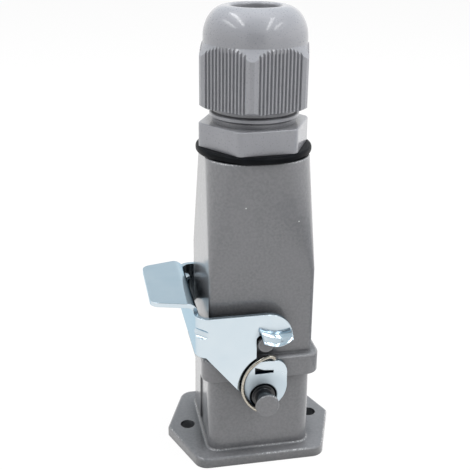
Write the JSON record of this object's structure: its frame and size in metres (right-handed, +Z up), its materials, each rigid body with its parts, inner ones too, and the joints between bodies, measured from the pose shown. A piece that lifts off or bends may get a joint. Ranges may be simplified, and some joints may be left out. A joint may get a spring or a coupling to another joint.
{
  "type": "rectangular power connector",
  "caption": "Square metal-housed power connector on a diamond panel flange, closed by a folded locking lever, with a round cable gland on top.",
  "frame": {"origin": "middle of the two panel holes, on the underside of the flange", "axes": "+Z up along the cable gland's axis, +X through the panel holes away from the lever's handle, -Y towards the seen front side"},
  "size_m": [0.0436, 0.0376, 0.1005],
  "materials": {
    "coated_zinc": "satin powder coat",
    "black_rubber": "matte",
    "insert_plastic": "satin",
    "contact_metal": "silver plated",
    "screw_steel": "zinc plated",
    "ground_metal": "plated",
    "grey_nylon": "semi gloss",
    "zinc_plated_sheet": "blue zinc plated",
    "nickel_wire": "nickel plated"
  },
  "bodies": {
    "connector": {"base_housing": "coated_zinc", "hood_housing": "coated_zinc", "flange_gasket": "black_rubber", "hood_gasket": "black_rubber", "gland_washer": "black_rubber", "female_insert": "insert_plastic", "male_insert": "insert_plastic", "socket_contacts": "contact_metal", "pin_contacts": "contact_metal", "female_terminal_screws": "screw_steel", "female_fixing_screw": "screw_steel", "female_ground_screw": "screw_steel", "male_terminal_screws": "screw_steel", "male_fixing_screw": "screw_steel", "male_ground_screw": "screw_steel", "female_ground_contact": "ground_metal", "male_ground_contact": "ground_metal", "gland_body": "grey_nylon"},
    "lever": {"locking_lever": "zinc_plated_sheet", "front_spring_ring": "nickel_wire", "rear_spring_ring": "nickel_wire"},
    "seal": {"gland_seal": "black_rubber"},
    "nut": {"gland_nut": "grey_nylon"}
  },
  "joints": [
    {"name": "lever_hinge", "type": "hinge", "parent": "connector", "child": "lever", "pos_m": [0, 0, 0.0177], "axis": [0, -1, 0], "range_deg": [0, 65]},
    {"name": "seal_travel", "type": "slide", "parent": "connector", "child": "seal", "axis": [0, 0, 1], "range_m": [-0.00201, 0.00502]},
    {"name": "gland_nut_turn", "type": "hinge", "parent": "seal", "child": "nut", "pos_m": [0, 0, 0.088], "axis": [0, 0, 1], "range_deg": [-360, 900]}
  ],
  "couplings": [
    {"joint": "seal_travel", "follows": "gland_nut_turn", "m_per_rad": 0.0003183}
  ]
}
